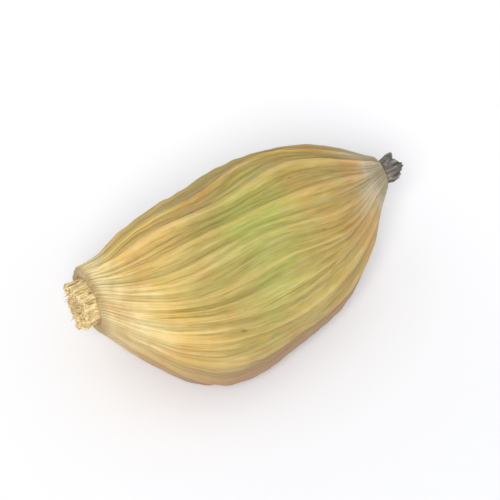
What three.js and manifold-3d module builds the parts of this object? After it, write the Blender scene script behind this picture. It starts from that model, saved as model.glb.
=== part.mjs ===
// A dried green cardamom pod, lying on its side: a three-cornered, ribbed seed capsule
// with the broken stub of its stalk at one end and the withered stub of its flower
// at the other. Millimetres, +Z up, +X from the stalk end to the flower end. The pod
// rests on a small flat spot at z = 0, and the origin is under the middle of the pod.
import * as THREE from "three";
import { mergeVertices } from "three/addons/utils/BufferGeometryUtils.js";
import Module from "manifold-3d";

const TURN = 2 * Math.PI;

// Driving dimensions of the husk
const HUSK_LENGTH = 13.7;
const BELLY_RADIUS = 3.86;
const COLLAR_RADIUS = 1.4;
const NECK_RADIUS = 0.78;

// The husk bows towards the front and down, most near the stalk end, and its neck lifts
const BOW_FORWARD = 1.27;
const BOW_DOWN = 0.3;
const NECK_LIFT = 0.3;
const NECK_FROM = 0.6;

// The outline: shares of the husk's length, with shares of the belly's radius and of the bow
const OUTLINE = [
  [0.0, COLLAR_RADIUS / BELLY_RADIUS, 0.0],
  [0.07, 0.56, 0.5],
  [0.15, 0.79, 0.84],
  [0.25, 0.945, 1.0],
  [0.37, 0.995, 0.92],
  [0.5, 1.0, 0.66],
  [0.63, 0.955, 0.48],
  [0.75, 0.82, 0.4],
  [0.86, 0.585, 0.28],
  [0.95, 0.335, 0.1],
  [1.0, NECK_RADIUS / BELLY_RADIUS, 0.0],
];

// Rounded corners run from end to end, with a shallow groove along each side between them.
// They fade over a share of the length at each end, and the whole husk is a little twisted.
const CORNERS = 3;
const CORNER_SWELL = 0.07;
const GROOVE_DEPTH = 0.12;
const GROOVE_WIDTH = 0.32;
const STALK_END_FADE = 0.2;
const FLOWER_END_FADE = 0.12;
const TOP_CORNER = TURN / 4;
const TWIST = 0.3;
const UNTWISTED_AT = 0.45;

// Raised ribs run from end to end, seven to each corner, the corner's own rib the tallest.
// The others differ in height, and in how soon they fade at the ends.
const RIBS = 21;
const RIB_HEIGHT = 0.13;
const RIB_SHARPNESS = 3;
const CORNER_RIB = 1.25;
const LOWEST_RIB = 0.65;
const RIB_VARIATION = 0.4;
const CORNER_RIB_FADE = 0.05;
const SHORTEST_FADE = 0.06;
const FADE_VARIATION = 0.12;

// Slow waves left by drying: times around, times along, start, and height or angle.
// The first set dents and swells the skin, and the second makes the ribs wander.
const DENTS = [
  { around: 2, along: 1.16, start: 0.6, height: 0.05 },
  { around: 1, along: -1.45, start: 2.2, height: 0.035 },
  { around: 5, along: 1.97, start: 1.1, height: 0.03 },
  { around: 4, along: -2.82, start: 0, height: 0.025 },
];
const WANDERS = [
  { around: 2, along: 1.27, start: 0, height: 0.03 },
  { around: 5, along: -1.75, start: 0, height: 0.03 },
];

// The flat spot under the belly, where the ribs and the groove are pressed away
const PRESSED_AT = 0.46;
const PRESSED_LENGTH = 0.17;
const PRESSED_WIDTH = 0.55;
const FLAT_CUT = 0.14;

// The stubs sit in a socket at each end of the husk, with a little clearance
const STALK_SOCKET_DEPTH = 0.45;
const FLOWER_SOCKET_DEPTH = 0.3;
const CLEARANCE = 0.08;
const LIP = 0.12;

// The stalk's stub is fluted with fibres, droops, and is torn across
const STALK_RADIUS = 1.0;
const STALK_LENGTH = 1.05;
const FLUTES = 9;
const FLUTE_DEPTH = 0.06;
const FLUTES_RISE_OVER = 0.3;
const STALK_DROOP = 0.12;
const TORN_END = [
  { around: 2, along: 0, start: 0.7, height: 0.1 },
  { around: 5, along: 0, start: 2, height: 0.05 },
];

// The flower's stub is a short tube, crumpled into folds, with a ragged, hollow rim
const FLOWER_RADIUS = 0.48;
const RIM_RADIUS = 0.58;
const FLOWER_LENGTH = 1.0;
const FLOWER_RISE = 0.1;
const FOLDS = 6;
const FOLD_DEPTH = 0.13;
const FOLD_UNEVENNESS = 1.2;
const RAGGED_RIM = [
  { around: 3, along: 0, start: 0.5, height: 0.12 },
  { around: 5, along: 0, start: 2, height: 0.07 },
];

// Fineness of the skins
const POINTS_PER_RIB = 5;
const STATIONS_ALONG = 45;
const POINTS_PER_FLUTE = 4;
const POINTS_PER_FOLD = 8;

// A repeatable number from 0 to 1 for each whole number
function chance(index) {
  const wave = Math.sin(index * 12.9898 + 4.1414) * 43758.5453;
  return wave - Math.floor(wave);
}

function smooth(high, value) {
  return THREE.MathUtils.smoothstep(value, 0, high);
}

function bump(value, width) {
  return Math.exp(-Math.pow(value / width, 2));
}

function waves(set, angle, share) {
  let total = 0;
  for (const { around, along, start, height } of set) {
    total += height * Math.sin(around * angle + TURN * along * share + start);
  }
  return total;
}

// The husk's centre line, at a share of its length and of its bow
function centreLine(share, bow) {
  const lift = NECK_LIFT * smooth(1 - NECK_FROM, share - NECK_FROM);
  return new THREE.Vector3(HUSK_LENGTH * share, -BOW_FORWARD * bow, lift - BOW_DOWN * bow);
}

// Height of the ribs above the skin: a narrow crest on each, of its own height and reach
function ribHeight(share, angle) {
  const place = (angle / TURN) * RIBS;
  const rib = Math.round(place) % RIBS;
  const fromCrest = place - Math.round(place);
  const crest = Math.pow(0.5 + 0.5 * Math.cos(fromCrest * TURN), RIB_SHARPNESS);
  const isCorner = rib % (RIBS / CORNERS) === 0;
  const height = isCorner ? CORNER_RIB : LOWEST_RIB + RIB_VARIATION * chance(rib);
  const fade = isCorner ? CORNER_RIB_FADE : SHORTEST_FADE + FADE_VARIATION * chance(rib + RIBS);
  return RIB_HEIGHT * height * crest * smooth(fade, share) * smooth(fade, 1 - share);
}

// Depth of the groove along the middle of each side
function grooveDepth(angle) {
  const side = (angle / TURN) * CORNERS - 0.5;
  const fromGroove = ((side - Math.round(side)) * TURN) / CORNERS;
  return GROOVE_DEPTH * bump(fromGroove, GROOVE_WIDTH);
}

// How far the underside is pressed flat, from 0 to 1
function pressed(share, angle) {
  return bump(share - PRESSED_AT, PRESSED_LENGTH) * bump(angle - TURN / 2, PRESSED_WIDTH);
}

// A point of the husk's skin, at a station of the outline and an angle from the top corner
function huskPoint({ share, radius, bow }, angle) {
  const body = smooth(STALK_END_FADE, share) * smooth(FLOWER_END_FADE, 1 - share);
  const swollen = radius * (1 + CORNER_SWELL * body * Math.cos(CORNERS * angle));
  const dent = waves(DENTS, angle, share) * Math.sin((TURN / 2) * share);
  const relief = (1 - pressed(share, angle)) * (ribHeight(share, angle) - body * grooveDepth(angle));
  const reach = swollen + dent + relief;
  const turned = TOP_CORNER + angle + TWIST * (share - UNTWISTED_AT) + body * waves(WANDERS, angle, share);
  const across = new THREE.Vector3(0, reach * Math.cos(turned), reach * Math.sin(turned));
  return centreLine(share, bow).add(across);
}

// A plain round point on the lip or in the socket at either end of the husk
function socketPoint({ end, along, radius }, angle) {
  const turned = TOP_CORNER + angle + TWIST * (end - UNTWISTED_AT);
  const across = new THREE.Vector3(along, radius * Math.cos(turned), radius * Math.sin(turned));
  return centreLine(end, 0).add(across);
}

// A closed skin turned from a row of stations, whose points are then placed one by one
function shapedTurning(stations, around) {
  const profile = stations.map((station) => new THREE.Vector2(station.radius, 0));
  const turned = new THREE.LatheGeometry(profile, around);
  const position = turned.getAttribute("position");
  for (let i = 0; i < position.count; i++) {
    const station = stations[i % stations.length];
    const column = Math.floor(i / stations.length) % around;
    const point = station.place(station, (column / around) * TURN);
    position.setXYZ(i, point.x, point.y, point.z);
  }
  turned.deleteAttribute("normal");
  turned.deleteAttribute("uv");
  return mergeVertices(turned, 1e-5);
}

// The husk, from the bottom of the stalk's socket, over its skin, to that of the flower's
function huskSkin() {
  const points = OUTLINE.map(([share, girth, bow]) => new THREE.Vector3(share, girth * BELLY_RADIUS, bow));
  const outline = new THREE.CatmullRomCurve3(points, false, "catmullrom");
  const stalkSocket = STALK_RADIUS + CLEARANCE;
  const flowerSocket = FLOWER_RADIUS + CLEARANCE;
  const stalkEnd = { end: 0, place: socketPoint };
  const flowerEnd = { end: 1, place: socketPoint };
  const stations = [
    { ...stalkEnd, along: STALK_SOCKET_DEPTH, radius: 0 },
    { ...stalkEnd, along: STALK_SOCKET_DEPTH, radius: stalkSocket },
    { ...stalkEnd, along: -LIP / 2, radius: stalkSocket },
    { ...stalkEnd, along: -LIP, radius: (stalkSocket + COLLAR_RADIUS) / 2 },
  ];
  for (let i = 0; i <= STATIONS_ALONG; i++) {
    const { x: share, y: radius, z: bow } = outline.getPoint(i / STATIONS_ALONG);
    stations.push({ share, radius, bow, place: huskPoint });
  }
  stations.push(
    { ...flowerEnd, along: LIP / 2, radius: flowerSocket },
    { ...flowerEnd, along: -FLOWER_SOCKET_DEPTH, radius: flowerSocket },
    { ...flowerEnd, along: -FLOWER_SOCKET_DEPTH, radius: 0 },
  );
  return shapedTurning(stations, RIBS * POINTS_PER_RIB);
}

// A point of the stalk's stub, which runs from its socket towards -X
function stalkPoint({ along, radius }, angle) {
  const out = Math.max(0, along - STALK_SOCKET_DEPTH);
  const girth = radius / STALK_RADIUS;
  const flute = FLUTE_DEPTH * girth * Math.cos(FLUTES * angle) * smooth(FLUTES_RISE_OVER, out);
  const torn = girth * waves(TORN_END, angle, 0) * smooth(STALK_LENGTH - STALK_SOCKET_DEPTH, out);
  const reach = radius + flute;
  const drooped = reach * Math.cos(angle) - STALK_DROOP * out * out;
  return new THREE.Vector3(-(along + torn), reach * Math.sin(angle), drooped);
}

function stalkSkin() {
  const profile = [
    { along: 0, radius: 0 },
    { along: 0, radius: STALK_RADIUS },
    { along: STALK_SOCKET_DEPTH, radius: STALK_RADIUS },
    { along: 0.7 * STALK_LENGTH, radius: 0.94 * STALK_RADIUS },
    { along: 0.93 * STALK_LENGTH, radius: 0.98 * STALK_RADIUS },
    { along: STALK_LENGTH, radius: 0.84 * STALK_RADIUS },
    { along: 0.95 * STALK_LENGTH, radius: 0.4 * STALK_RADIUS },
    { along: 0.92 * STALK_LENGTH, radius: 0 },
  ];
  const stations = profile.map((station) => ({ ...station, place: stalkPoint }));
  return shapedTurning(stations, FLUTES * POINTS_PER_FLUTE);
}

// A point of the flower's stub, which runs from its socket towards +X
function flowerPoint({ along, radius }, angle) {
  const out = Math.max(0, along - FLOWER_SOCKET_DEPTH) / (FLOWER_LENGTH - FLOWER_SOCKET_DEPTH);
  const fold = FOLD_DEPTH * out * Math.cos(FOLDS * angle + FOLD_UNEVENNESS * Math.sin(angle));
  const ragged = (radius / RIM_RADIUS) * out * waves(RAGGED_RIM, angle, 0);
  const reach = radius * (1 + fold);
  const raised = reach * Math.sin(angle) + FLOWER_RISE * out * out;
  return new THREE.Vector3(along + ragged, reach * Math.cos(angle), raised);
}

function flowerSkin() {
  const profile = [
    { along: 0, radius: 0 },
    { along: 0, radius: FLOWER_RADIUS },
    { along: FLOWER_SOCKET_DEPTH, radius: FLOWER_RADIUS },
    { along: 0.5 * FLOWER_LENGTH, radius: 1.08 * FLOWER_RADIUS },
    { along: 0.8 * FLOWER_LENGTH, radius: RIM_RADIUS },
    { along: FLOWER_LENGTH, radius: 0.95 * RIM_RADIUS },
    { along: FLOWER_LENGTH, radius: 0.7 * RIM_RADIUS },
    { along: 0.72 * FLOWER_LENGTH, radius: 0.4 * RIM_RADIUS },
    { along: 0.68 * FLOWER_LENGTH, radius: 0 },
  ];
  const stations = profile.map((station) => ({ ...station, place: flowerPoint }));
  return shapedTurning(stations, FOLDS * POINTS_PER_FOLD);
}

const wasm = await Module();
wasm.setup();

function toSolid(geometry) {
  const vertProperties = geometry.getAttribute("position").array;
  const triVerts = new Uint32Array(geometry.index.array);
  return new wasm.Manifold(new wasm.Mesh({ numProp: 3, vertProperties, triVerts }));
}

function toGeometry(solid) {
  const mesh = solid.getMesh();
  const geometry = new THREE.BufferGeometry();
  geometry.setAttribute("position", new THREE.BufferAttribute(mesh.vertProperties, 3));
  geometry.setIndex(new THREE.BufferAttribute(mesh.triVerts, 1));
  return geometry;
}

// Cuts a skin's underside flat, a little above its lowest point
function cutFlat(skin) {
  skin.computeBoundingBox();
  const floor = skin.boundingBox.min.z + FLAT_CUT;
  const side = 2 * HUSK_LENGTH;
  const block = new THREE.BoxGeometry(side, side, side).translate(HUSK_LENGTH / 2, 0, floor - side / 2);
  block.deleteAttribute("normal");
  block.deleteAttribute("uv");
  return toGeometry(toSolid(skin).subtract(toSolid(mergeVertices(block, 1e-5))));
}

function piece(name, geometry, color, roughness) {
  const material = new THREE.MeshStandardMaterial({ color, roughness, metalness: 0 });
  const mesh = new THREE.Mesh(geometry, material);
  mesh.name = name;
  return mesh;
}

const husk = piece("husk", cutFlat(huskSkin()), "#c3b972", 0.68);

const stalk = piece("stalk_stub", stalkSkin(), "#e3cd93", 0.85);
stalk.position.copy(centreLine(0, 0)).x += STALK_SOCKET_DEPTH - CLEARANCE;

const flower = piece("flower_stub", flowerSkin(), "#6f675c", 0.9);
flower.position.copy(centreLine(1, 0)).x -= FLOWER_SOCKET_DEPTH - CLEARANCE;

// The origin goes under the middle of the pod, on the plane of the flat spot
const pod = new THREE.Group();
pod.add(husk, stalk, flower);
const bounds = new THREE.Box3().setFromObject(pod);
const middle = bounds.getCenter(new THREE.Vector3());
pod.position.set(-middle.x, -middle.y, -bounds.min.z);

export default pod;
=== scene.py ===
"""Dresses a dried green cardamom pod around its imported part, and sets it on a pale floor.

The pod lies along X with its stalk at the low end and its withered flower at the high end.
Sizes in the classes are in millimetres, as the part's own are, and a mesh turns them to
metres as it is made. Each sub-assembly is a class that builds its mesh and dresses it, and
each finish is a frozen dataclass that makes one material.
"""

from __future__ import annotations

import logging
import math
from collections.abc import Sequence
from dataclasses import dataclass, field
from enum import Enum

import bpy
import numpy as np
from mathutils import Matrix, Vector


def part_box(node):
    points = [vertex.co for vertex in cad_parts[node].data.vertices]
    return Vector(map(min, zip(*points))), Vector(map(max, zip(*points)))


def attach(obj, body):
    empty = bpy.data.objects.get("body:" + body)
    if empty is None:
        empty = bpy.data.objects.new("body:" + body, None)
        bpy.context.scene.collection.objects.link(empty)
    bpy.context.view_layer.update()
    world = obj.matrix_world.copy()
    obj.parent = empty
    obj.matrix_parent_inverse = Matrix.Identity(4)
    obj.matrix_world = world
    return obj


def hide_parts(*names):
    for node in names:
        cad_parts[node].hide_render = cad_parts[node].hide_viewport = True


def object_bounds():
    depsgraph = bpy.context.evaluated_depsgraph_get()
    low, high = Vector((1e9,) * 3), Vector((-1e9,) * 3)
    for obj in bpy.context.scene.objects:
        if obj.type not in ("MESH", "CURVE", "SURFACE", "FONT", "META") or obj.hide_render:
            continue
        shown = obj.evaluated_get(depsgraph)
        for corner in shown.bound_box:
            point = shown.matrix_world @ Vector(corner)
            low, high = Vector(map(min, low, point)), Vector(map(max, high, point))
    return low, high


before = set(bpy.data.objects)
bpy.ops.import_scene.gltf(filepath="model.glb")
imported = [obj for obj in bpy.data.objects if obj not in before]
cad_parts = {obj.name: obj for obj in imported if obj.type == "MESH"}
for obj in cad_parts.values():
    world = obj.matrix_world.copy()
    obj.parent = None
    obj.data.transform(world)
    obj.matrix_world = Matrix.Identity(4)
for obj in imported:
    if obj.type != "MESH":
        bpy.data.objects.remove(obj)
CAD_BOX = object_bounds()

LOG = logging.getLogger("cardamom_pod")
MM = 0.001
TURN = 2 * math.pi
ROOT_BODY = "root"


class Node(Enum):
    """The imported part's solids that the dressed pieces stand for."""

    HUSK = "husk"
    STALK = "stalk_stub"
    FLOWER = "flower_stub"


class Slot(Enum):
    """The record's material slots."""

    HUSK = "husk"
    STALK = "stalk"
    FLOWER = "flower"


class Level(Enum):
    """What decides where a tint shows. The first six are what a mesh carries."""

    SHARE = "share"
    CREST = "crest"
    VEIN = "vein"
    GREEN = "green"
    PAINTED_EDGE_SHADE = "painted_edge_shade"
    FIBRE = "fibre"
    HEIGHT = "height"
    PATCH = "patch"
    BLOTCH = "blotch"
    STREAK = "streak"
    THREAD = "thread"
    FLECK = "fleck"


def linear(colour: str) -> tuple[float, float, float, float]:
    """Turns an sRGB hex colour to the linear one that a shader takes.

    Args:
        colour: The colour as "#rrggbb".

    Returns:
        Its red, green, blue and alpha.
    """
    # These are the constants of the sRGB curve
    parts = (int(colour[i : i + 2], 16) / 255 for i in (1, 3, 5))
    return (*(c / 12.92 if c <= 0.04045 else ((c + 0.055) / 1.055) ** 2.4 for c in parts), 1.0)


def chance(index: float) -> float:
    """Gives a repeatable number from 0 to 1 for each number that it is asked for.

    Args:
        index: The number.

    Returns:
        The same share every time for that number.
    """
    # Large, uneven constants set the results for close numbers far apart
    wave = math.sin(index * 12.9898 + 4.1414) * 43758.5453
    return wave - math.floor(wave)


def between(span: tuple[float, float], share: float | np.ndarray) -> float | np.ndarray:
    """Gives the value that lies at a share of the way across a span."""
    return span[0] + (span[1] - span[0]) * share


def smooth(high: float | np.ndarray, value: np.ndarray) -> np.ndarray:
    """Rises smoothly from 0 at zero to 1 at a high value.

    Args:
        high: Where the rise ends.
        value: The values to look up.

    Returns:
        The share of the rise at each value.
    """
    part = np.clip(value / high, 0.0, 1.0)
    return part * part * (3 - 2 * part)


def bump(value: np.ndarray, width: float) -> np.ndarray:
    """Gives a soft hump that is 1 at zero and falls off within a width."""
    return np.exp(-((value / width) ** 2))


@dataclass(frozen=True)
class Wave:
    """One slow wave over a skin.

    Attributes:
        around: How many times it repeats around the piece.
        along: How many times it repeats along the piece.
        start: Where it starts, in radians.
        height: Its height in millimetres, or its reach in radians.
    """

    around: float
    along: float
    start: float
    height: float


def ripple(waves: Sequence[Wave], angle: np.ndarray, share: np.ndarray | float) -> np.ndarray:
    """Adds up a few waves over a skin.

    Args:
        waves: The waves.
        angle: Each point's angle around the piece.
        share: Each point's share of the piece's length.

    Returns:
        The sum at each point.
    """
    return sum(
        w.height * np.sin(w.around * angle + TURN * w.along * share + w.start) for w in waves
    )


@dataclass(frozen=True)
class Grain:
    """A seeded bundle of waves that together make a fine natural grain.

    Attributes:
        seed: Which bundle this is.
        count: How many waves it holds.
        coarsest: The fewest times that a wave repeats around the piece.
        finest: The most times that a wave repeats around the piece.
        slant: The most times that a wave repeats along the piece.
    """

    seed: int
    count: int
    coarsest: int
    finest: int
    slant: float

    def level(self, angle: np.ndarray, share: np.ndarray | float) -> np.ndarray:
        """Gives the grain's level, mostly between -2 and 2.

        Args:
            angle: Each point's angle around the piece.
            share: Each point's share of the piece's length.

        Returns:
            The level at each point.
        """
        waves = []
        for i in range(self.seed, self.seed + self.count):
            # Each wave draws three numbers of its own, at i and at two places before i + 1
            around = round(between((self.coarsest, self.finest), chance(i)))
            along = between((-self.slant, self.slant), chance(i + 0.37))
            waves.append(Wave(around, along, TURN * chance(i + 0.71), 1.0))
        return ripple(waves, angle, share) / math.sqrt(self.count / 2)


def finer(profile: Sequence[tuple[float, float]], steps: int) -> np.ndarray:
    """Divides each stretch of a profile into equal steps.

    Args:
        profile: The profile's points.
        steps: How many steps each stretch gets.

    Returns:
        The finer profile, one point to a row.
    """
    points = np.array(profile, float)
    known = np.arange(len(points))
    at = np.linspace(0, known[-1], steps * known[-1] + 1)
    return np.stack([np.interp(at, known, points[:, i]) for i in range(2)], axis=1)


@dataclass
class SkinMesh:
    """A mesh of closed skins, each a row of rings that is closed by a point at both ends."""

    points: list[np.ndarray] = field(default_factory=list)
    faces: list[tuple[int, ...]] = field(default_factory=list)
    marks: dict[Level, list[np.ndarray]] = field(default_factory=dict)

    def add(self, rings: np.ndarray, marks: dict[Level, np.ndarray]) -> None:
        """Adds one closed skin.

        Args:
            rings: The points, by ring, by column and by axis, in millimetres.
            marks: What each point carries for the material, by ring and by column.
        """
        first = sum(len(block) for block in self.points)
        count, around = rings.shape[:2]
        start, end = first + count * around, first + count * around + 1
        self.points.append(self._closed(rings))
        for mark, values in marks.items():
            self.marks.setdefault(mark, []).append(self._closed(values))
        ring, column = np.meshgrid(np.arange(count - 1), np.arange(around), indexing="ij")
        here = first + (ring * around + column).ravel()
        beside = first + (ring * around + (column + 1) % around).ravel()
        corners = (here, beside, beside + around, here + around)
        self.faces += zip(*(corner.tolist() for corner in corners))
        last = first + (count - 1) * around
        for c in range(around):
            d = (c + 1) % around
            self.faces.append((start, first + d, first + c))
            self.faces.append((end, last + c, last + d))

    @staticmethod
    def _closed(values: np.ndarray) -> np.ndarray:
        """Flattens the rings, and adds the middle of the first and of the last one.

        Args:
            values: What each point has, by ring and by column.

        Returns:
            The same, one point to a row, with the two middles last.
        """
        flat = values.reshape(values.shape[0] * values.shape[1], -1)
        ends = [values[i].mean(axis=0).reshape(1, -1) for i in (0, -1)]
        return np.concatenate([flat, *ends])

    def to_object(self, name: str) -> bpy.types.Object:
        """Makes the Blender object.

        Args:
            name: The piece's name.

        Returns:
            The object, linked to the scene and shaded smooth.
        """
        mesh = bpy.data.meshes.new(name)
        mesh.from_pydata((np.concatenate(self.points) * MM).tolist(), [], self.faces)
        for mark, blocks in self.marks.items():
            values = np.concatenate(blocks)
            kind, key = ("FLOAT", "value") if values.shape[1] == 1 else ("FLOAT_VECTOR", "vector")
            mesh.attributes.new(mark.value, kind, "POINT").data.foreach_set(key, values.ravel())
        mesh.shade_smooth()
        mesh.validate()
        piece = bpy.data.objects.new(name, mesh)
        bpy.context.scene.collection.objects.link(piece)
        return piece


def add_node(
    tree: bpy.types.NodeTree,
    kind: str,
    inputs: dict[str | int, object] | None = None,
    stops: Sequence[tuple[float, str]] = (),
    **settings: object,
) -> bpy.types.Node:
    """Adds a node to a material, with its settings and links.

    Args:
        tree: The material's node tree.
        kind: The node's type.
        inputs: For an input's name or number, its value or the output that it is linked to.
        stops: The places and colours of a colour ramp, in order.
        **settings: The node's own properties.

    Returns:
        The new node.
    """
    node = tree.nodes.new(kind)
    for name, value in settings.items():
        setattr(node, name, value)
    for key, value in (inputs or {}).items():
        if isinstance(value, bpy.types.NodeSocket):
            tree.links.new(value, node.inputs[key])
        else:
            node.inputs[key].default_value = value
    for i, (place, colour) in enumerate(stops):
        elements = node.color_ramp.elements
        stop = elements[i] if i < 2 else elements.new(place)
        stop.position = place
        stop.color = linear(colour)
    return node


@dataclass(frozen=True)
class Pattern:
    """One irregular pattern on a finish.

    Attributes:
        size_mm: How far apart its marks are on the real thing.
        detail: How many finer layers lie over the first.
    """

    size_mm: float
    detail: float


@dataclass(frozen=True)
class Relief:
    """How a pattern stands out of a finish.

    Attributes:
        strength: How much of it shows.
        depth_mm: How deep it is on the real thing.
    """

    strength: float
    depth_mm: float


@dataclass(frozen=True)
class Tint:
    """One colour laid over a finish.

    Attributes:
        colour: The colour, in sRGB hex.
        level: What decides where it shows.
        start: The level at which it starts to show.
        full: The level at which it shows most.
        most: How much of it shows there.
        within: A second level, from 0 to 1, that keeps it to one area.
    """

    colour: str
    level: Level
    start: float
    full: float
    most: float
    within: Level | None = None


def lay_tints(
    tree: bpy.types.NodeTree,
    colour: bpy.types.NodeSocket,
    tints: Sequence[Tint],
    levels: dict[Level, bpy.types.NodeSocket],
) -> bpy.types.NodeSocket:
    """Lays tints over a colour, one after the other.

    Args:
        tree: The material's node tree.
        colour: The colour under them.
        tints: The tints, lowest first.
        levels: The output that gives each level.

    Returns:
        The colour with all the tints on it.
    """
    for tint in tints:
        rise = {"Value": levels[tint.level], "From Min": tint.start, "From Max": tint.full}
        reach = {"To Min": 0.0, "To Max": tint.most}
        shows = add_node(tree, "ShaderNodeMapRange", rise | reach).outputs[0]
        if tint.within:
            area = {0: shows, 1: levels[tint.within]}
            shows = add_node(tree, "ShaderNodeMath", area, operation="MULTIPLY").outputs[0]
        layers = {0: shows, 6: colour, 7: linear(tint.colour)}
        colour = add_node(tree, "ShaderNodeMix", layers, data_type="RGBA").outputs[2]
    return colour


def lay_reliefs(
    tree: bpy.types.NodeTree,
    reliefs: Sequence[tuple[bpy.types.NodeSocket | Pattern, Relief]],
) -> bpy.types.NodeSocket:
    """Lays fine reliefs over each other.

    Args:
        tree: The material's node tree.
        reliefs: What each follows and how it stands out, lowest first. It follows an output
            that gives its height, or a pattern of its own at its real size.

    Returns:
        The way that the surface faces with all of them on it.
    """
    place = add_node(tree, "ShaderNodeTexCoord").outputs["Object"]
    facing = {}
    for height, relief in reliefs:
        if isinstance(height, Pattern):
            grit = {"Scale": 1 / (height.size_mm * MM), "Detail": height.detail}
            noise = add_node(tree, "ShaderNodeTexNoise", {"Vector": place, **grit})
            height = noise.outputs["Fac"]
        shape = {"Height": height, "Strength": relief.strength, "Distance": relief.depth_mm * MM}
        raised = add_node(tree, "ShaderNodeBump", shape | facing)
        facing = {"Normal": raised.outputs["Normal"]}
    return facing["Normal"]


@dataclass(frozen=True)
class DriedRind:
    """Cardamom rind, dried slowly after picking: thin and fibrous, like ribbed parchment.

    It gives the eye a satin, papery skin that runs from pale straw at the stalk through tan
    to a greyish neck, green on two of its faces, with long fibres and a few brown flecks.
    Shade is painted into its colour too: brown along both flanks, darker olive in the
    grooves and mauve-brown low down next to the floor.

    Attributes:
        name: The material's name.
        along: The colour under the tints, from the stalk end to the neck.
        tints: The tints, lowest first.
        patch: The green patches.
        blotch: The orange-tan blotches.
        streak: The light and dark streaks along the fibres.
        thread: The single fibres.
        fleck: The brown flecks.
        grain: The grain of the parchment.
        stretch: How much of each direction streaks and threads see: little along the pod, so
            that they are long.
        fleck_stretch: The same for flecks, which are twice as long as they are wide.
        softness: How strongly a pattern's finer layers show.
        variant: Which of many alike rinds this is.
        wander: How far the colours along the pod shift from patch to patch.
        drift: The levels of a patch between which they shift.
        ior: The index of refraction of dry plant fibre.
        smoothest: The roughness on the palest streaks.
        roughest: The roughness on the darkest ones.
        satin: The levels of a streak between which the roughness changes.
        thread_relief: How the threads stand out.
        grain_relief: How the parchment grain stands out.
    """

    name: str = "dried_cardamom_rind"
    along: tuple[tuple[float, str], ...] = (
        (0.0, "#f6e2ab"),
        (0.12, "#d5b562"),
        (0.28, "#b89f56"),
        (0.42, "#b49d57"),
        (0.56, "#b3a156"),
        (0.7, "#b79c53"),
        (0.84, "#bda268"),
        (0.94, "#d1c3a2"),
        (1.0, "#b5a892"),
    )
    tints: tuple[Tint, ...] = (
        Tint("#c8934c", Level.BLOTCH, 0.5, 0.68, 0.6),
        Tint("#a8b052", Level.GREEN, 0.4, 0.95, 0.5),
        Tint("#a3b04f", Level.PATCH, 0.44, 0.6, 0.6, Level.GREEN),
        Tint("#7d7a3a", Level.STREAK, 0.46, 0.28, 0.5),
        Tint("#d9c381", Level.STREAK, 0.54, 0.74, 0.45),
        Tint("#7d6533", Level.THREAD, 0.48, 0.32, 0.5),
        Tint("#e8d69c", Level.THREAD, 0.54, 0.7, 0.35),
        # Painted shade: darker olive down in the grooves between the ribs and pleats
        Tint("#82763a", Level.CREST, 0.3, 0.0, 0.36),
        Tint("#d5b26c", Level.CREST, 0.45, 1.0, 0.36),
        Tint("#e4d397", Level.VEIN, 0.4, 1.0, 0.14),
        # Painted shade: brown laid along both flanks, so the rind darkens towards its edges
        Tint("#8d7050", Level.PAINTED_EDGE_SHADE, 0.4, 1.0, 0.9, Level.STREAK),
        # Painted shade: mauve-brown low on the pod, strongest next to the floor
        Tint("#8c6a66", Level.HEIGHT, 3.0, 0.9, 0.7),
        Tint("#977143", Level.SHARE, 0.012, 0.0, 0.45),
        Tint("#6b4524", Level.FLECK, 0.7, 0.8, 0.6),
    )
    patch: Pattern = Pattern(2.6, 3.0)
    blotch: Pattern = Pattern(1.7, 3.0)
    streak: Pattern = Pattern(0.45, 5.0)
    thread: Pattern = Pattern(0.1, 3.0)
    fleck: Pattern = Pattern(0.4, 2.0)
    grain: Pattern = Pattern(0.06, 2.0)
    stretch: tuple[float, float, float] = (1.0, 1.0, 0.07)
    fleck_stretch: tuple[float, float, float] = (1.0, 1.0, 0.5)
    softness: float = 0.58
    variant: float = 0.7
    wander: float = 0.1
    drift: tuple[float, float] = (0.25, 0.75)
    ior: float = 1.47
    smoothest: float = 0.44
    roughest: float = 0.66
    satin: tuple[float, float] = (0.3, 0.7)
    thread_relief: Relief = Relief(0.9, 0.07)
    grain_relief: Relief = Relief(0.6, 0.03)

    def levels(self, tree: bpy.types.NodeTree) -> dict[Level, bpy.types.NodeSocket]:
        """Makes the levels that the tints follow, each pattern at its real size.

        Args:
            tree: The material's node tree.

        Returns:
            The output that gives each level.
        """
        levels = {
            mark: add_node(tree, "ShaderNodeAttribute", attribute_name=mark.value).outputs["Fac"]
            for mark in (Level.SHARE, Level.CREST, Level.VEIN, Level.GREEN, Level.PAINTED_EDGE_SHADE)
        }
        fibre = add_node(tree, "ShaderNodeAttribute", attribute_name=Level.FIBRE.value)
        metres = add_node(tree, "ShaderNodeTexCoord").outputs["Object"]
        scaled = []
        for vector, scale in (
            (metres, (1 / MM,) * 3),
            (fibre.outputs["Vector"], self.stretch),
            (fibre.outputs["Vector"], self.fleck_stretch),
        ):
            factors = {0: vector, 1: scale}
            product = add_node(tree, "ShaderNodeVectorMath", factors, operation="MULTIPLY")
            scaled.append(product.outputs[0])
        place, long, spotted = scaled
        shared = {"W": self.variant, "Roughness": self.softness}
        for level, where, pattern in (
            (Level.PATCH, place, self.patch),
            (Level.BLOTCH, place, self.blotch),
            (Level.STREAK, long, self.streak),
            (Level.THREAD, long, self.thread),
            (Level.FLECK, spotted, self.fleck),
        ):
            own = {"Vector": where, "Scale": 1 / pattern.size_mm, "Detail": pattern.detail}
            noise = add_node(tree, "ShaderNodeTexNoise", own | shared, noise_dimensions="4D")
            levels[level] = noise.outputs["Fac"]
        levels[Level.HEIGHT] = add_node(tree, "ShaderNodeSeparateXYZ", {0: place}).outputs["Z"]
        return levels

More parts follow.
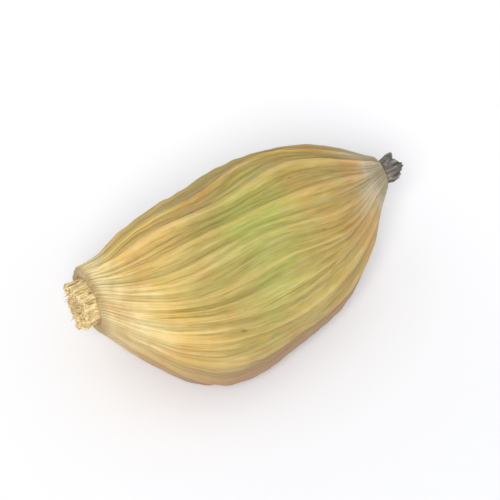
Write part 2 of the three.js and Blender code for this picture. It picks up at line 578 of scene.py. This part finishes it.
    def material(self) -> bpy.types.Material:
        """Makes the material: a ramp along the pod, tints, a varying satin and a fine relief.

        Returns:
            The rind's material.
        """
        material = bpy.data.materials.new(self.name)
        material.use_nodes = True
        tree = material.node_tree
        shader = tree.nodes["Principled BSDF"]
        levels = self.levels(tree)
        low, high = self.drift
        drift = {"Value": levels[Level.PATCH], "From Min": low, "From Max": high}
        reach = {"To Min": -self.wander, "To Max": self.wander}
        moved = add_node(tree, "ShaderNodeMapRange", drift | reach).outputs[0]
        shift = {0: levels[Level.SHARE], 1: moved}
        where = add_node(tree, "ShaderNodeMath", shift, operation="ADD").outputs[0]
        colour = add_node(tree, "ShaderNodeValToRGB", {"Fac": where}, self.along).outputs["Color"]
        tree.links.new(lay_tints(tree, colour, self.tints, levels), shader.inputs["Base Color"])

        low, high = self.satin
        satin = {"Value": levels[Level.STREAK], "From Min": low, "From Max": high}
        gloss = {"To Min": self.roughest, "To Max": self.smoothest}
        rough = add_node(tree, "ShaderNodeMapRange", satin | gloss).outputs[0]
        tree.links.new(rough, shader.inputs["Roughness"])

        # Threads stand at their real spacing, and the parchment grain is a little coarser than life
        reliefs = ((levels[Level.THREAD], self.thread_relief), (self.grain, self.grain_relief))
        tree.links.new(lay_reliefs(tree, reliefs), shader.inputs["Normal"])
        shader.inputs["IOR"].default_value = self.ior
        return material


@dataclass(frozen=True)
class DryFibre:
    """A dry, matt, fibrous finish, whose fibres follow the marks that the mesh carries.

    Attributes:
        name: The material's name.
        ramp: The colours of the fibres, darkest first.
        tints: The tints, lowest first.
        fibre: The streaks along the fibres.
        fibre_relief: How the fibres stand out.
        ior: The index of refraction.
        roughness: The roughness.
        softness: How strongly the finer fibres show.
        grain: The crumb of the dry tissue.
        grain_relief: How that crumb stands out.
    """

    name: str
    ramp: tuple[tuple[float, str], ...]
    tints: tuple[Tint, ...]
    fibre: Pattern
    fibre_relief: Relief
    ior: float
    roughness: float
    softness: float = 0.6
    grain: Pattern = Pattern(0.05, 3.0)
    grain_relief: Relief = Relief(0.4, 0.02)

    def material(self) -> bpy.types.Material:
        """Makes the material from streaks along the fibres, tints and a fine relief.

        Returns:
            The material.
        """
        material = bpy.data.materials.new(self.name)
        material.use_nodes = True
        tree = material.node_tree
        shader = tree.nodes["Principled BSDF"]
        fibre = add_node(tree, "ShaderNodeAttribute", attribute_name=Level.FIBRE.value)
        crest = add_node(tree, "ShaderNodeAttribute", attribute_name=Level.CREST.value)
        lines = {"Vector": fibre.outputs["Vector"], "Scale": 1 / self.fibre.size_mm}
        layers = {"Detail": self.fibre.detail, "Roughness": self.softness}
        streaks = add_node(tree, "ShaderNodeTexNoise", lines | layers).outputs["Fac"]
        colour = add_node(tree, "ShaderNodeValToRGB", {"Fac": streaks}, self.ramp).outputs["Color"]
        levels = {Level.CREST: crest.outputs["Fac"], Level.STREAK: streaks}
        tree.links.new(lay_tints(tree, colour, self.tints, levels), shader.inputs["Base Color"])
        reliefs = ((self.grain, self.grain_relief), (streaks, self.fibre_relief))
        tree.links.new(lay_reliefs(tree, reliefs), shader.inputs["Normal"])
        shader.inputs["Roughness"].default_value = self.roughness
        shader.inputs["IOR"].default_value = self.ior
        return material


# A stalk snapped off by hand: it gives the eye pale, stringy straw round a darker torn pith
TORN_STALK = DryFibre(
    name="torn_cardamom_stalk",
    ramp=((0.34, "#8c6b37"), (0.47, "#cdb176"), (0.66, "#ecdcae")),
    tints=(Tint("#8f6d3b", Level.CREST, 0.55, 0.1, 0.5),),
    fibre=Pattern(0.09, 4.0),
    fibre_relief=Relief(0.6, 0.06),
    ior=1.5,
    roughness=0.82,
)

# Petals withered on the pod: a dull, dark grey-brown tip, with a painted highlight on its folds
WITHERED_PETALS = DryFibre(
    name="withered_cardamom_flower",
    ramp=((0.34, "#403c38"), (0.54, "#6f6962"), (0.72, "#aba294")),
    # Painted highlight: paler grey along the crests of the folds
    tints=(Tint("#b3ab9d", Level.CREST, 0.4, 1.0, 0.5),),
    fibre=Pattern(0.14, 4.0),
    fibre_relief=Relief(0.6, 0.02),
    ior=1.45,
    roughness=0.88,
)


@dataclass(frozen=True)
class MattPaper:
    """White studio paper, calendered and matt: it gives the eye a plain, near-white floor.

    Attributes:
        name: The material's name.
        shades: The two whites of its faint clouds.
        cloud: The clouds.
        roughness: The roughness.
    """

    name: str = "matt_white_paper"
    shades: tuple[tuple[float, str], ...] = ((0.4, "#fbfbfc"), (0.6, "#f6f7fa"))
    cloud: Pattern = Pattern(60.0, 1.0)
    roughness: float = 0.95

    def material(self) -> bpy.types.Material:
        """Makes the material, with a faint cloudiness.

        Returns:
            The paper's material.
        """
        material = bpy.data.materials.new(self.name)
        material.use_nodes = True
        tree = material.node_tree
        shader = tree.nodes["Principled BSDF"]
        place = add_node(tree, "ShaderNodeTexCoord").outputs["Object"]
        soft = {"Scale": 1 / (self.cloud.size_mm * MM), "Detail": self.cloud.detail}
        clouds = add_node(tree, "ShaderNodeTexNoise", {"Vector": place, **soft}).outputs["Fac"]
        colour = add_node(tree, "ShaderNodeValToRGB", {"Fac": clouds}, self.shades).outputs["Color"]
        tree.links.new(colour, shader.inputs["Base Color"])
        shader.inputs["Roughness"].default_value = self.roughness
        return material


def stand_for(
    piece: bpy.types.Object, node: Node, material: bpy.types.Material
) -> None:
    """Gives a piece its material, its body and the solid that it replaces.

    Args:
        piece: The dressed piece.
        node: The solid that it stands for.
        material: Its finish.
    """
    piece.data.materials.append(material)
    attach(piece, ROOT_BODY)
    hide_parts(node.value)


@dataclass
class Husk:
    """The closed seed capsule: three rounded corners, ribs from end to end, bowed and dented.

    Its form is the part's own, drawn finer, with pleats, veins, fibres and crumpling added.
    """

    # Outline and bow, as in the part
    length: float = 13.7
    belly_radius: float = 3.86
    collar_radius: float = 1.4
    neck_radius: float = 0.78
    bow_forward: float = 1.27
    bow_down: float = 0.3
    neck_lift: float = 0.3
    neck_from: float = 0.6
    # Three corners with a groove between each two, and a slow twist
    corners: int = 3
    corner_swell: float = 0.07
    groove_depth: float = 0.12
    groove_width: float = 0.32
    stalk_end_fade: float = 0.2
    flower_end_fade: float = 0.12
    top_corner: float = TURN / 4
    twist: float = 0.3
    untwisted_at: float = 0.45
    # Ribs, of which every seventh runs along a corner and stands highest
    ribs: int = 21
    rib_height: float = 0.13
    rib_sharpness: float = 3.0
    corner_rib: float = 1.25
    lowest_rib: float = 0.65
    rib_variation: float = 0.4
    corner_rib_fade: float = 0.05
    shortest_fade: float = 0.06
    fade_variation: float = 0.12
    # Dents where the rind shrank, and how the ribs wander
    dents: tuple[Wave, ...] = (
        Wave(2, 1.16, 0.6, 0.05),
        Wave(1, -1.45, 2.2, 0.035),
        Wave(5, 1.97, 1.1, 0.03),
        Wave(4, -2.82, 0.0, 0.025),
    )
    wanders: tuple[Wave, ...] = (Wave(2, 1.27, 0.0, 0.03), Wave(5, -1.75, 0.0, 0.03))
    # Ribs pressed flat under the belly, where the pod rests
    pressed_at: float = 0.46
    pressed_length: float = 0.17
    pressed_width: float = 0.55
    # Sockets of the two stubs
    socket_depth: float = 0.3
    lip: float = 0.12
    stalk_radius: float = 1.0
    flower_radius: float = 0.48
    # Fine forms that only the dressed husk has
    keen_edge: float = 0.035
    keenness: float = 3.0
    pleats_per_rib: int = 3
    pleat_seed: int = 200
    pleat_height: float = 0.055
    pleat_sharpness: float = 1.6
    pleat_swells: tuple[float, float] = (0.6, 1.6)
    lowest_pleat: float = 0.2
    pleat_wander: tuple[Wave, ...] = (Wave(4, 1.6, 0.4, 0.012), Wave(9, -2.7, 1.9, 0.008))
    suture_depth: float = 0.05
    suture_width: float = 0.028
    veins: Grain = Grain(100, 14, 13, 37, 1.6)
    vein_width: float = 0.55
    vein_height: float = 0.028
    fibres: Grain = Grain(400, 16, 60, 130, 3.0)
    fibre_height: float = 0.014
    crumple: Grain = Grain(700, 18, 3, 18, 20.0)
    crumple_height: float = 0.01
    frayed_lip: Grain = Grain(900, 9, 5, 21, 0.0)
    fray: float = 0.02
    # Where the rind is greenest, and how much its ribs and pleats count as crests for its tints
    green_side: float = 0.6
    green_at: float = 0.47
    green_length: float = 0.2
    green_focus: float = 3.0
    least_green: float = 0.3
    rib_tint: float = 0.7
    pleat_tint: float = 0.45
    # Steps of the part's own skin, which its frame is found from, and of the dressed one
    coarse_around: int = 105
    coarse_along: int = 45
    fine_around: int = 567
    fine_along: int = 164
    finish: DriedRind = DriedRind()

    def outline(self, steps: int) -> tuple[np.ndarray, np.ndarray, np.ndarray]:
        """Draws the outline as a smooth curve through its points.

        Args:
            steps: How many steps to divide the curve into.

        Returns:
            At each step, the share of the length, the radius and the share of the bow.
        """
        drawn = np.array(
            [
                (0.0, self.collar_radius / self.belly_radius, 0.0),
                (0.07, 0.56, 0.5),
                (0.15, 0.79, 0.84),
                (0.25, 0.945, 1.0),
                (0.37, 0.995, 0.92),
                (0.5, 1.0, 0.66),
                (0.63, 0.955, 0.48),
                (0.75, 0.82, 0.4),
                (0.86, 0.585, 0.28),
                (0.95, 0.335, 0.1),
                (1.0, self.neck_radius / self.belly_radius, 0.0),
            ]
        )
        before = 2 * drawn[0] - drawn[1]
        after = 2 * drawn[-1] - drawn[-2]
        points = np.vstack([before, drawn, after])
        at = np.linspace(0, len(drawn) - 1, steps + 1)
        span = np.minimum(at.astype(int), len(drawn) - 2)
        t = (at - span)[:, None]
        p0, p1, p2, p3 = (points[span + i] for i in range(4))
        v1, v2 = (p2 - p0) / 2, (p3 - p1) / 2
        square = 3 * (p2 - p1) - 2 * v1 - v2
        cube = 2 * (p1 - p2) + v1 + v2
        curve = p1 + v1 * t + square * t**2 + cube * t**3
        return curve[:, 0], curve[:, 1] * self.belly_radius, curve[:, 2]

    def centre_line(self, share: np.ndarray, bow: np.ndarray) -> np.ndarray:
        """Gives the husk's centre at a share of its length and of its bow.

        Args:
            share: The shares of the length.
            bow: The shares of the bow.

        Returns:
            The centres, with X, Y and Z last.
        """
        lift = self.neck_lift * smooth(1 - self.neck_from, share - self.neck_from)
        forward = -self.bow_forward * bow
        return np.stack([self.length * share, forward, lift - self.bow_down * bow], axis=-1)

    def rib_crest(self, share: np.ndarray, angle: np.ndarray) -> np.ndarray:
        """Gives how high the ribs stand, as a share of a full rib's height.

        Args:
            share: The shares of the length.
            angle: The angles from the top corner.

        Returns:
            The share of the height, with each rib's own height and reach.
        """
        place = angle / TURN * self.ribs
        rib = np.round(place).astype(int) % self.ribs
        crest = (0.5 + 0.5 * np.cos((place - np.round(place)) * TURN)) ** self.rib_sharpness
        is_corner = rib % (self.ribs // self.corners) == 0
        own = np.array([chance(i) for i in range(2 * self.ribs)])
        plain = self.lowest_rib + self.rib_variation * own[rib]
        height = np.where(is_corner, self.corner_rib, plain)
        late = self.shortest_fade + self.fade_variation * own[rib + self.ribs]
        fade = np.where(is_corner, self.corner_rib_fade, late)
        return height * crest * smooth(fade, share) * smooth(fade, 1 - share)

    def pleat_crest(self, share: np.ndarray, angle: np.ndarray) -> np.ndarray:
        """Gives how high the fine pleats between the ribs stand, as a share of a full pleat.

        Args:
            share: The shares of the length.
            angle: The angles from the top corner.

        Returns:
            The share of the height. Each pleat rises and fades along its own way.
        """
        pleats = self.ribs * self.pleats_per_rib
        place = (angle + ripple(self.pleat_wander, angle, share)) / TURN * pleats
        pleat = np.round(place).astype(int) % pleats
        crest = (0.5 + 0.5 * np.cos((place - np.round(place)) * TURN)) ** self.pleat_sharpness
        own = np.array([chance(self.pleat_seed + i) for i in range(2 * pleats)])
        swells = between(self.pleat_swells, own[pleat])
        rise = 0.5 + 0.5 * np.sin(TURN * (swells * share + own[pleat + pleats]))
        return crest * between((self.lowest_pleat, 1.0), rise)

    def skin(
        self, steps: int, around: int, fine: bool
    ) -> tuple[np.ndarray, dict[Level, np.ndarray]]:
        """Shapes the skin from collar to neck.

        Args:
            steps: How many steps it has along.
            around: How many points it has around.
            fine: Whether it has pleats, veins, fibres and crumpling.

        Returns:
            The rings of points, and what each point carries for the material.
        """
        share, radius, bow = (a[:, None] for a in self.outline(steps))
        angle = (np.arange(around) / around * TURN)[None, :]
        body = smooth(self.stalk_end_fade, share) * smooth(self.flower_end_fade, 1 - share)
        swollen = radius * (1 + self.corner_swell * body * np.cos(self.corners * angle))
        dent = ripple(self.dents, angle, share) * np.sin(TURN / 2 * share)
        side = angle / TURN * self.corners - 0.5
        from_groove = (side - np.round(side)) * TURN / self.corners
        pressed = bump(share - self.pressed_at, self.pressed_length)
        pressed = pressed * bump(angle - TURN / 2, self.pressed_width)
        rib = self.rib_crest(share, angle)
        pleat = self.pleat_crest(share, angle)
        vein = bump(self.veins.level(angle, share), self.vein_width)
        groove = body * self.groove_depth * bump(from_groove, self.groove_width)
        relief = self.rib_height * rib - groove
        if fine:
            drawn = self.keen_edge * rib**self.keenness + self.vein_height * vein
            drawn = drawn + self.pleat_height * (pleat - 0.5)
            drawn = drawn - body * self.suture_depth * bump(from_groove, self.suture_width)
            drawn = drawn + self.fibre_height * self.fibres.level(angle, share)
            drawn = drawn + self.crumple_height * self.crumple.level(angle, share)
            relief = relief + drawn * np.sqrt(radius / self.belly_radius)
        reach = swollen + dent + (1 - pressed) * relief
        turned = self.top_corner + angle + self.twist * (share - self.untwisted_at)
        turned = turned + body * ripple(self.wanders, angle, share)
        sideways, upwards = reach * np.cos(turned), reach * np.sin(turned)
        across = np.stack([np.zeros_like(reach), sideways, upwards], axis=-1)
        rings = self.centre_line(share, bow) + across
        over = self.belly_radius * np.cos(angle), self.belly_radius * np.sin(angle)
        fibre = [np.broadcast_to(a, reach.shape) for a in (*over, self.length * share)]
        facing = np.abs(np.cos(angle - self.green_side))
        green = between((self.least_green, 1.0), facing**self.green_focus)
        marks = {
            Level.SHARE: np.broadcast_to(share, reach.shape),
            Level.CREST: np.clip(self.rib_tint * rib + self.pleat_tint * pleat, 0, 1),
            Level.VEIN: vein,
            Level.GREEN: bump(share - self.green_at, self.green_length) * green,
            # Painted shade: 1 on the flanks between the two green faces, where the rind is browned
            Level.PAINTED_EDGE_SHADE: np.broadcast_to(1 - facing, reach.shape),
            Level.FIBRE: np.stack(fibre, axis=-1),
        }
        return rings, marks

    def offset(self) -> np.ndarray:
        """Finds where the part's frame puts the husk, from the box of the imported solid.

        Returns:
            What to add to the husk's own millimetres.
        """
        rings, _ = self.skin(self.coarse_along, self.coarse_around, fine=False)
        low, high = (np.array(corner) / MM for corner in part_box(Node.HUSK.value))
        top = rings.reshape(-1, 3).max(axis=0)
        return np.array([low[0] + self.lip, high[1] - top[1], high[2] - top[2]])

    def end_rings(
        self, end: int, profile: Sequence[tuple[float, float]], around: int
    ) -> np.ndarray:
        """Makes the rings of a slightly frayed lip and of its socket.

        Args:
            end: 0 for the stalk end or 1 for the flower end.
            profile: How far along X and how wide each ring is.
            around: How many points each ring has.

        Returns:
            The rings of points.
        """
        along, radius = (np.array(profile)[:, i, None] for i in range(2))
        angle = np.arange(around) / around * TURN
        turned = self.top_corner + angle + self.twist * (end - self.untwisted_at)
        frayed = along + self.fray * bump(along, self.lip) * self.frayed_lip.level(angle, float(end))
        lip = np.stack([frayed, radius * np.cos(turned), radius * np.sin(turned)], axis=-1)
        return self.centre_line(np.array(float(end)), np.array(0.0)) + lip

    def build(self, offset: np.ndarray) -> bpy.types.Object:
        """Builds the husk's mesh, flat where it rests on the floor.

        Args:
            offset: What to add to the husk's own millimetres.

        Returns:
            The husk.
        """
        rings, marks = self.skin(self.fine_along, self.fine_around, fine=True)
        # How far along X and how wide, from the bottom of one socket to that of the other
        stalk_side = [
            (self.socket_depth, 0.5 * self.stalk_radius),
            (self.socket_depth, 0.9 * self.stalk_radius),
            (-0.2 * self.lip, 0.96 * self.stalk_radius),
            (-0.7 * self.lip, 0.75 * self.stalk_radius + 0.25 * self.collar_radius),
            (-0.75 * self.lip, 0.4 * self.stalk_radius + 0.6 * self.collar_radius),
            (-0.4 * self.lip, 0.1 * self.stalk_radius + 0.9 * self.collar_radius),
        ]
        flower_side = [
            (0.35 * self.lip, 0.5 * (1.02 * self.flower_radius + self.neck_radius)),
            (0.1 * self.lip, 0.9 * self.flower_radius),
            (-self.socket_depth, 0.8 * self.flower_radius),
            (-self.socket_depth, 0.4 * self.flower_radius),
        ]
        first = self.end_rings(0, stalk_side, self.fine_around)
        last = self.end_rings(1, flower_side, self.fine_around)
        whole = np.concatenate([first, rings, last]) + offset
        whole[..., 2] = np.maximum(whole[..., 2], 0.0)
        carried = {}
        for mark, values in marks.items():
            start, end = values[:1].repeat(len(first), 0), values[-1:].repeat(len(last), 0)
            carried[mark] = np.concatenate([start, values, end])
        mesh = SkinMesh()
        mesh.add(whole, carried)
        return mesh.to_object("husk_rind")

    def dress(self, piece: bpy.types.Object) -> None:
        """Gives the husk its rind, and puts it in the solid's place."""
        stand_for(piece, Node.HUSK, self.finish.material())


@dataclass
class StalkStub:
    """The stub of the stalk, fluted with fibres and torn across, with loose fibre ends."""

    radius: float = 1.0
    length: float = 1.05
    seated: float = 0.45
    clearance: float = 0.08
    flutes: int = 9
    flute_depth: float = 0.06
    flutes_rise_over: float = 0.3
    droop: float = 0.12
    torn_end: tuple[Wave, ...] = (Wave(2, 0, 0.7, 0.1), Wave(5, 0, 2.0, 0.05))
    splinters: Grain = Grain(1200, 16, 6, 26, 2.2)
    splinter_height: float = 0.035
    cords: Grain = Grain(1300, 8, 20, 44, 1.0)
    cord_height: float = 0.02
    around: int = 180
    steps: int = 9
    fibre_stretch: float = 0.07
    # Loose fibre ends: where they grow from, and how long, how bent and how thick they are
    strands: int = 48
    strand_seeds: tuple[int, ...] = (2000, 2100, 2200, 2300, 2400)
    strand_scatter: float = 0.7
    strand_roots: tuple[float, float] = (0.35, 0.8)
    strand_from: float = 0.9
    strand_sink: float = 0.04
    strand_lengths: tuple[float, float] = (0.09, 0.3)
    strand_lean: tuple[float, float] = (-0.4, 0.4)
    strand_curl: tuple[float, float] = (-0.7, 0.7)
    strand_radii: tuple[float, float] = (0.03, 0.0075)
    strand_sides: int = 6
    strand_steps: int = 5
    finish: DryFibre = TORN_STALK

    def rings(self) -> tuple[np.ndarray, dict[Level, np.ndarray]]:
        """Shapes the stub, from the bottom of its socket out to its torn end.

        Returns:
            The rings of points, and what each point carries for the material.
        """
        # How far along and how wide
        profile = [
            (0.0, 0.1 * self.radius),
            (0.0, self.radius),
            (self.seated, self.radius),
            (0.7 * self.length, 0.94 * self.radius),
            (0.93 * self.length, 0.98 * self.radius),
            (self.length, 0.84 * self.radius),
            (0.95 * self.length, 0.4 * self.radius),
            (0.92 * self.length, 0.05 * self.radius),
        ]
        along, radius = (column[:, None] for column in finer(profile, self.steps).T)
        angle = (np.arange(self.around) / self.around * TURN)[None, :]
        out = np.maximum(0, along - self.seated)
        girth = radius / self.radius
        whole_out = self.length - self.seated
        flute = self.flute_depth * np.cos(self.flutes * angle)
        cord = self.cord_height * self.cords.level(angle, along)
        reach = radius + girth * (flute + cord) * smooth(self.flutes_rise_over, out)
        splinter = self.splinter_height * self.splinters.level(angle, girth)
        torn = girth * (ripple(self.torn_end, angle, 0.0) + splinter) * smooth(whole_out, out)
        drooped = reach * np.cos(angle) - self.droop * out**2
        points = np.stack([-(along + torn), reach * np.sin(angle), drooped], axis=-1)
        stretched = self.fibre_stretch * (along + 0 * angle)
        fibre = np.stack([reach * np.sin(angle), reach * np.cos(angle), stretched], axis=-1)
        return points, {Level.FIBRE: fibre, Level.CREST: girth + 0 * angle}

    def strand(self, index: int) -> tuple[np.ndarray, dict[Level, np.ndarray]]:
        """Shapes one loose fibre end, which grows out of the torn rim.

        Args:
            index: Which strand it is.

        Returns:
            The rings of points, and what each point carries for the material.
        """
        scatter, rooted, length, lean, curl = (chance(index + seed) for seed in self.strand_seeds)
        angle = TURN * (index + self.strand_scatter * scatter) / self.strands
        outward = np.array([0.0, math.sin(angle), math.cos(angle)])
        aside = np.array([0.0, math.cos(angle), -math.sin(angle)])
        straight = np.array([-1.0, 0.0, 0.0])
        bend = between(self.strand_lean, lean) * outward + between(self.strand_curl, curl) * aside
        root = self.radius * between(self.strand_roots, rooted) * outward
        root = root + np.array([-self.strand_from * self.length, 0.0, -self.strand_sink])
        t = np.linspace(0, 1, self.strand_steps + 1)[:, None]
        path = root + between(self.strand_lengths, length) * (t * straight + t**2 * bend)
        sides = np.arange(self.strand_sides) / self.strand_sides * TURN
        ring = np.stack([0 * sides, np.sin(sides), np.cos(sides)], axis=-1)
        points = path[:, None, :] + between(self.strand_radii, t)[:, :, None] * ring[None]
        fibre = points[..., [1, 2, 0]] * np.array([1.0, 1.0, self.fibre_stretch])
        return points, {Level.FIBRE: fibre, Level.CREST: np.ones(points.shape[:2])}

    def build(self, root: np.ndarray) -> bpy.types.Object:
        """Builds the stub's mesh with its loose fibre ends.

        Args:
            root: The middle of the husk's stalk end, in the part's frame, in millimetres.

        Returns:
            The stub.
        """
        place = root + np.array([self.seated - self.clearance, 0.0, 0.0])
        mesh = SkinMesh()
        for points, marks in [self.rings(), *(self.strand(i) for i in range(self.strands))]:
            mesh.add(points + place, marks)
        return mesh.to_object("torn_stalk")

    def dress(self, piece: bpy.types.Object) -> None:
        """Gives the stub its straw, and puts it in the solid's place."""
        stand_for(piece, Node.STALK, self.finish.material())


@dataclass
class FlowerStub:
    """The withered stub of the flower: a short tube, crumpled into folds, ragged at its rim."""

    radius: float = 0.48
    rim_radius: float = 0.58
    length: float = 1.0
    seated: float = 0.3
    clearance: float = 0.08
    rise: float = 0.1
    folds: int = 6
    fold_depth: float = 0.13
    fold_unevenness: float = 1.2
    ragged_rim: tuple[Wave, ...] = (Wave(3, 0, 0.5, 0.12), Wave(5, 0, 2.0, 0.07))
    shreds: Grain = Grain(3000, 10, 8, 26, 0.0)
    shred_height: float = 0.03
    creases: Grain = Grain(3100, 10, 10, 30, 2.0)
    crease_height: float = 0.012
    around: int = 192
    steps: int = 9
    fibre_stretch: float = 0.25
    finish: DryFibre = WITHERED_PETALS

    def rings(self) -> tuple[np.ndarray, dict[Level, np.ndarray]]:
        """Shapes the stub, from the bottom of its socket over its rim and down inside it.

        Returns:
            The rings of points, and what each point carries for the material.
        """
        # How far along and how wide
        profile = [
            (0.0, 0.1 * self.radius),
            (0.0, self.radius),
            (self.seated, self.radius),
            (0.5 * self.length, 1.08 * self.radius),
            (0.8 * self.length, self.rim_radius),
            (self.length, 0.95 * self.rim_radius),
            (self.length, 0.7 * self.rim_radius),
            (0.72 * self.length, 0.4 * self.rim_radius),
            (0.68 * self.length, 0.05 * self.rim_radius),
        ]
        along, radius = (column[:, None] for column in finer(profile, self.steps).T)
        angle = (np.arange(self.around) / self.around * TURN)[None, :]
        out = np.maximum(0, along - self.seated) / (self.length - self.seated)
        girth = radius / self.rim_radius
        wave = np.cos(self.folds * angle + self.fold_unevenness * np.sin(angle))
        crease = self.crease_height * out * self.creases.level(angle, along)
        ragged = girth * out * ripple(self.ragged_rim, angle, 0.0)
        shred = girth * out * self.shred_height * self.shreds.level(angle, 0.0)
        reach = radius * (1 + self.fold_depth * out * wave) + girth * crease
        raised = reach * np.sin(angle) + self.rise * out**2
        points = np.stack([along + ragged + shred, reach * np.cos(angle), raised], axis=-1)
        stretched = self.fibre_stretch * (along + 0 * angle)
        fibre = np.stack([reach * np.cos(angle), reach * np.sin(angle), stretched], axis=-1)
        return points, {Level.CREST: np.clip(wave * out, 0, 1), Level.FIBRE: fibre}

    def build(self, root: np.ndarray) -> bpy.types.Object:
        """Builds the stub's mesh.

        Args:
            root: The middle of the husk's flower end, in the part's frame, in millimetres.

        Returns:
            The stub.
        """
        points, marks = self.rings()
        mesh = SkinMesh()
        mesh.add(points + root - np.array([self.seated - self.clearance, 0.0, 0.0]), marks)
        return mesh.to_object("withered_flower")

    def dress(self, piece: bpy.types.Object) -> None:
        """Gives the stub its dry tissue, and puts it in the solid's place."""
        stand_for(piece, Node.FLOWER, self.finish.material())


@dataclass
class Studio:
    """A pale floor, soft lights and the camera at the photograph's angle.

    The sky is brighter near the floor, as a studio's white backdrop is. Its reach is given by
    how far up the backdrop starts to fade and where it ends, with 1 straight up.
    """

    azimuth: float = -30.0
    elevation: float = 47.0
    lens: float = 200.0
    framed_mm: float = 20.5
    floor_mm: float = 8000.0
    sky: str = "#fdfdff"
    sky_strength: float = 0.6
    backdrop_strength: float = 1.0
    backdrop_reach: tuple[float, float] = (0.1, 0.3)
    key_from: tuple[float, float, float] = (-0.42, -0.59, 0.69)
    key_spread: float = 25.0
    key_strength: float = 2.1
    paper: MattPaper = MattPaper()

    def lay_floor(self) -> None:
        """Lays the floor at the height of the flat spot."""
        half = self.floor_mm * MM / 2
        corners = [(-half, -half, 0.0), (half, -half, 0.0), (half, half, 0.0), (-half, half, 0.0)]
        mesh = bpy.data.meshes.new("floor")
        mesh.from_pydata(corners, [], [(0, 1, 2, 3)])
        mesh.materials.append(self.paper.material())
        floor = bpy.data.objects.new("floor", mesh)
        bpy.context.scene.collection.objects.link(floor)

    def light(self) -> None:
        """Lights the pod with a white sky, its backdrop and one broad soft lamp from far off."""
        world = bpy.data.worlds.new("studio_sky")
        world.use_nodes = True
        tree = world.node_tree
        sky = tree.nodes["Background"]
        sky.inputs["Color"].default_value = linear(self.sky)
        towards = add_node(tree, "ShaderNodeTexCoord").outputs["Generated"]
        height = add_node(tree, "ShaderNodeSeparateXYZ", {0: towards}).outputs["Z"]
        starts, ends = self.backdrop_reach
        reach = {"Value": height, "From Min": starts, "From Max": ends}
        fade = {"To Min": self.backdrop_strength, "To Max": self.sky_strength}
        strength = add_node(tree, "ShaderNodeMapRange", reach | fade).outputs[0]
        tree.links.new(strength, sky.inputs["Strength"])
        bpy.context.scene.world = world
        lamp = bpy.data.lights.new("key_lamp", "SUN")
        lamp.angle = math.radians(self.key_spread)
        lamp.energy = self.key_strength
        key = bpy.data.objects.new("key_lamp", lamp)
        key.rotation_euler = Vector(self.key_from).to_track_quat("Z", "Y").to_euler()
        bpy.context.scene.collection.objects.link(key)

    def aim_camera(self) -> None:
        """Places the camera far off with a long lens, so that perspective hardly shows."""
        low, high = CAD_BOX
        middle = (low + high) / 2
        a, e = math.radians(self.azimuth), math.radians(self.elevation)
        back = Vector((math.sin(a) * math.cos(e), -math.cos(a) * math.cos(e), math.sin(e)))
        data = bpy.data.cameras.new("camera")
        data.lens = self.lens
        distance = self.framed_mm * MM * data.lens / data.sensor_width
        data.clip_start = distance / 10
        camera = bpy.data.objects.new("camera", data)
        camera.location = middle + back * distance
        camera.rotation_euler = back.to_track_quat("Z", "Y").to_euler()
        bpy.context.scene.collection.objects.link(camera)
        bpy.context.scene.camera = camera

    def build(self) -> None:
        """Lays the floor, sets the lights and the camera, and shows colours as they are."""
        self.lay_floor()
        self.light()
        self.aim_camera()
        bpy.context.scene.view_settings.view_transform = "Standard"


def main() -> None:
    """Builds the studio and the pod's pieces in order, and reports each."""
    logging.basicConfig(level=logging.INFO, format="%(name)s: %(message)s")
    Studio().build()
    husk = Husk()
    offset = husk.offset()
    ends = [husk.centre_line(np.array(end), np.array(0.0)) + offset for end in (0.0, 1.0)]
    for builder, place in ((husk, offset), (StalkStub(), ends[0]), (FlowerStub(), ends[1])):
        piece = builder.build(place)
        builder.dress(piece)
        LOG.info("%s: %d faces", piece.name, len(piece.data.polygons))


if __name__ == "__main__":
    main()
